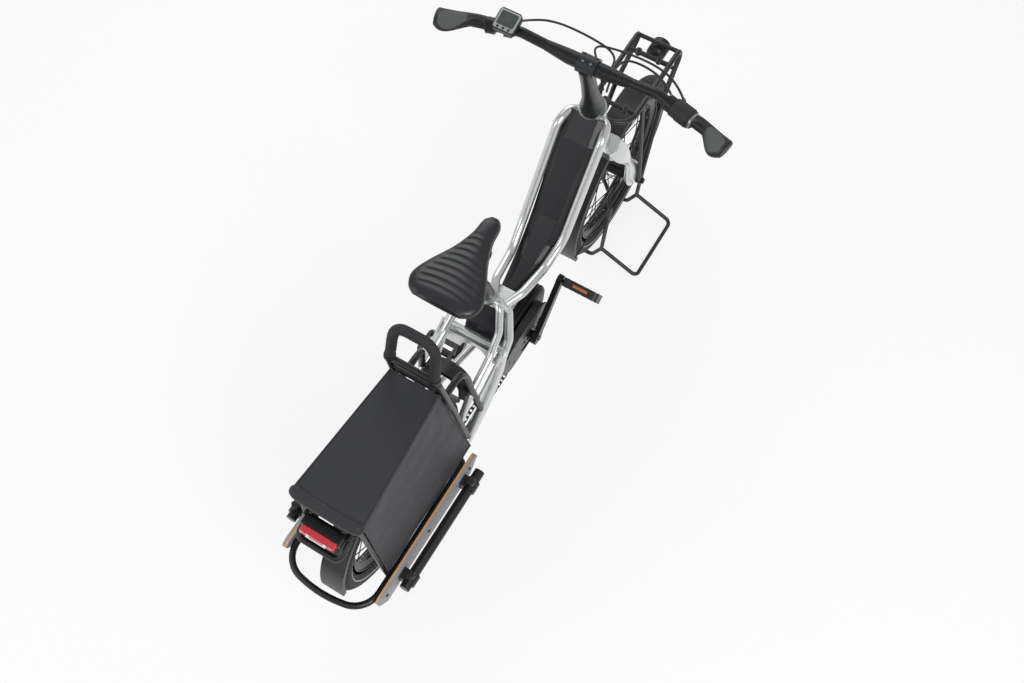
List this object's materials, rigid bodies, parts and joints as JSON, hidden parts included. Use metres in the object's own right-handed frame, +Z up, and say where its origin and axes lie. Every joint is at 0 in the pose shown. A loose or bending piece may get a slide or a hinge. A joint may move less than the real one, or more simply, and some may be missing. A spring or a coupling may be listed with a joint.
{
  "type": "electric cargo bike",
  "caption": "Compact long-tail electric cargo bike with small wheels, a front rack, a cloth-sided rear carrier, side boards and a wire display stand.",
  "frame": {"origin": "on the floor, below the middle of the bike's overall box", "axes": "+X forward along the bike, +Y to the rider's left, +Z up"},
  "size_m": [1.6806, 0.6798, 1.0434],
  "materials": {
    "black_alloy": "satin black",
    "black_plastic": "fine grain",
    "black_tube": "satin powder coat",
    "board": "grey laminate face with a bare ply edge",
    "cloth": "woven",
    "cover_plastic": "satin",
    "frame_silver": "metallic lacquer, smooth",
    "grip": "matte",
    "lamp_red": "clear and red lens",
    "saddle_skin": "matte, ribbed",
    "stand_wire": "bare wire",
    "steel": "fine brushed",
    "tyre": "matte"
  },
  "bodies": {
    "frame": {"battery_case": "black_plastic", "battery_cover": "cover_plastic", "belt": "steel", "chain_guard": "black_plastic", "cross_beam": "frame_silver", "fabric_cover": "cloth", "foot_bar_left": "black_tube", "foot_bar_right": "black_tube", "grab_handle": "grip", "head_tube": "frame_silver", "lower_tube": "black_tube", "motor": "black_plastic", "passenger_ring": "black_tube", "rear_axle": "steel", "rear_carrier": "black_tube", "rear_mudguard": "black_plastic", "rear_stay_left": "frame_silver", "rear_stay_right": "frame_silver", "ring_lock": "black_plastic", "saddle": "saddle_skin", "seat_post": "black_alloy", "seat_tube": "frame_silver", "side_board_left": "board", "side_board_right": "board", "side_rail_left": "frame_silver", "side_rail_right": "frame_silver", "splash_cover": "black_plastic", "tail_lamp": "lamp_red", "tail_loop": "black_tube"},
    "steering": {"fork": "frame_silver", "stem": "black_alloy", "handlebar": "black_alloy", "grip_left": "grip", "grip_right": "grip", "brake_lever_left": "black_alloy", "brake_lever_right": "black_alloy", "twist_shifter": "black_plastic", "display": "black_plastic", "front_rack": "black_tube", "headlamp": "black_plastic", "front_mudguard": "black_plastic", "display_stand": "stand_wire", "control_cables": "black_plastic", "front_brake": "black_alloy"},
    "front_wheel": {"front_tyre": "tyre", "front_wheel": "black_alloy", "front_disc": "steel"},
    "rear_wheel": {"rear_tyre": "tyre", "rear_wheel": "black_alloy"},
    "crankset": {"crankset": "black_alloy"},
    "pedal_left": {"pedal_left": "black_plastic"},
    "pedal_right": {"pedal_right": "black_plastic"}
  },
  "joints": [
    {"name": "steering_turn", "type": "hinge", "parent": "frame", "child": "steering", "pos_m": [0.37438, 0, 0.67741], "axis": [-0.3502, 0, 0.9367], "range_deg": [-45, 45]},
    {"name": "front_wheel_spin", "type": "hinge", "parent": "steering", "child": "front_wheel", "pos_m": [0.5795, 0, 0.263], "axis": [0, 1, 0], "continuous": true},
    {"name": "rear_wheel_spin", "type": "hinge", "parent": "frame", "child": "rear_wheel", "pos_m": [-0.5225, 0, 0.263], "axis": [0, 1, 0], "continuous": true},
    {"name": "crank_turn", "type": "hinge", "parent": "frame", "child": "crankset", "pos_m": [-0.0005, 0, 0.3], "axis": [0, 1, 0], "continuous": true},
    {"name": "pedal_left_turn", "type": "hinge", "parent": "crankset", "child": "pedal_left", "pos_m": [-0.09801, 0.145, 0.16074], "axis": [0, 1, 0], "continuous": true},
    {"name": "pedal_right_turn", "type": "hinge", "parent": "crankset", "child": "pedal_right", "pos_m": [0.09701, -0.145, 0.43926], "axis": [0, 1, 0], "continuous": true}
  ]
}
